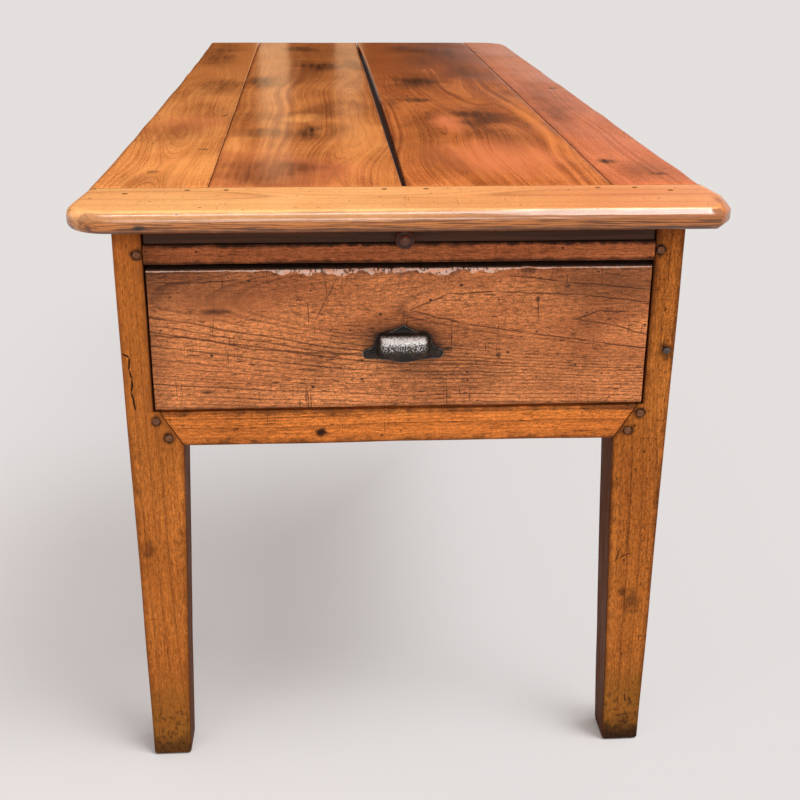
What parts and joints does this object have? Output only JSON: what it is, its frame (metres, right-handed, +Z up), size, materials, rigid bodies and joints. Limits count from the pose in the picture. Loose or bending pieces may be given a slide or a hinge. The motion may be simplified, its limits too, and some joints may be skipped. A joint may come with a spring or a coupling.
{
  "type": "farmhouse table",
  "caption": "Fruitwood farmhouse table with tapered legs, boarded top with a breadboard end, a deep end drawer with an iron cup pull and a pull-out bread slide.",
  "frame": {"origin": "on the floor under the middle of the top", "axes": "+Z up, +Y along the table away from the drawer end, +X to the right when facing the drawer"},
  "size_m": [0.751, 1.886, 0.76],
  "materials": {
    "top_boards": "waxed, worn, semi-gloss",
    "breadboard": "waxed, worn, semi-gloss",
    "top_pegs": "dull",
    "frame_pegs": "dull",
    "drawer_face": "waxed, worn",
    "drawer_carcass": "raw, aged",
    "drawer_floor": "raw, aged",
    "slide_boards": "worn, dull",
    "knob": "polished by hands",
    "legs": "waxed, worn",
    "rails": "waxed, worn",
    "aprons": "waxed, worn",
    "inner_wood": "raw, aged",
    "nails": "hand-made, dark",
    "cup_iron": "cast, worn bright in front",
    "screw_iron": "dark"
  },
  "bodies": {
    "table": {"apron_pegs": "frame_pegs", "batten_screws": "nails", "breadboard_end": "breadboard", "breadboard_pegs": "top_pegs", "cross_rail": "inner_wood", "drawer_guide_left": "inner_wood", "drawer_guide_right": "inner_wood", "drawer_runner_left": "inner_wood", "drawer_runner_right": "inner_wood", "drawer_stops": "inner_wood", "front_frame_pegs": "frame_pegs", "front_lower_rail": "rails", "front_upper_rail": "rails", "glue_blocks": "inner_wood", "leg_front_left": "legs", "leg_front_right": "legs", "leg_nail": "nails", "leg_rear_left": "legs", "leg_rear_right": "legs", "rear_apron": "aprons", "runner_nails": "nails", "side_apron_left": "aprons", "side_apron_right": "aprons", "slide_bearer_left": "inner_wood", "slide_bearer_right": "inner_wood", "slide_guide_left": "inner_wood", "slide_guide_right": "inner_wood", "top_batten_middle": "inner_wood", "top_batten_rear": "inner_wood", "top_board_1": "top_boards", "top_board_2": "top_boards", "top_board_3": "top_boards", "top_board_4": "top_boards", "top_splines": "inner_wood"},
    "drawer": {"cup_pull": "cup_iron", "drawer_back": "drawer_carcass", "drawer_bottom_1": "drawer_floor", "drawer_bottom_2": "drawer_floor", "drawer_bottom_3": "drawer_floor", "drawer_front": "drawer_face", "drawer_nails": "nails", "drawer_side_left": "drawer_carcass", "drawer_side_right": "drawer_carcass", "pull_screws": "screw_iron"},
    "bread_slide": {"slide_board_1": "slide_boards", "slide_board_2": "slide_boards", "slide_board_3": "slide_boards", "slide_knob": "knob", "slide_stop": "inner_wood"}
  },
  "joints": [
    {"name": "drawer_pull_out", "type": "slide", "parent": "table", "child": "drawer", "axis": [0, -1, 0], "range_m": [0, 0.42]},
    {"name": "bread_slide_pull_out", "type": "slide", "parent": "table", "child": "bread_slide", "axis": [0, -1, 0], "range_m": [0, 0.388]}
  ]
}
